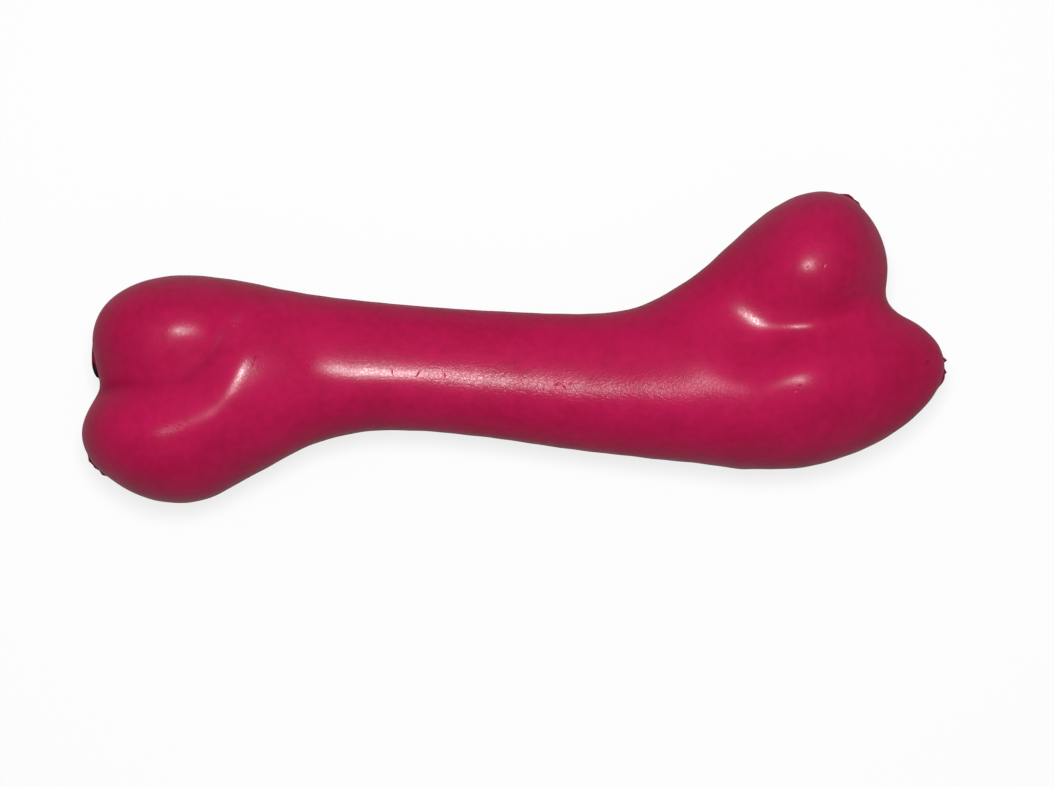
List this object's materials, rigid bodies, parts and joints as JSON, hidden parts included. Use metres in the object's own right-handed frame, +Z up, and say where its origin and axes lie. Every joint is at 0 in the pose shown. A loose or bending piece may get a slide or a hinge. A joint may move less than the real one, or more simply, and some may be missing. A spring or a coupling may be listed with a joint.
{
  "type": "rubber chew bone",
  "caption": "Hollow rubber bone with two knobbed ends, a creased left knob and a valley in the right one, and a reed squeaker let into its underside.",
  "frame": {"origin": "middle of the bone's outline, on the surface that its knobs rest on", "axes": "+X along the bone towards the knob with the wide valley, +Y across it towards the single raised lobe of that knob, +Z up, away from the squeaker"},
  "size_m": [0.1504, 0.0544, 0.0334],
  "materials": {
    "rubber": "glossy moulded rubber",
    "barrel_plastic": "moulded, slightly waxy",
    "sleeve_plastic": "moulded, slightly waxy",
    "reed_film": "smooth film"
  },
  "bodies": {
    "bone": {"upper_half": "rubber", "lower_half": "rubber", "squeaker_barrel": "barrel_plastic", "reed_sleeve": "sleeve_plastic", "reed_seat": "sleeve_plastic"},
    "reed": {"reed": "reed_film"}
  },
  "joints": [
    {"name": "reed_flex", "type": "hinge", "parent": "bone", "child": "reed", "pos_m": [0.01512, -0.00611, 0.01056], "axis": [0, 1, 0], "range_deg": [-4, 0.5], "stiffness_Nm_per_rad": 0.00001}
  ]
}
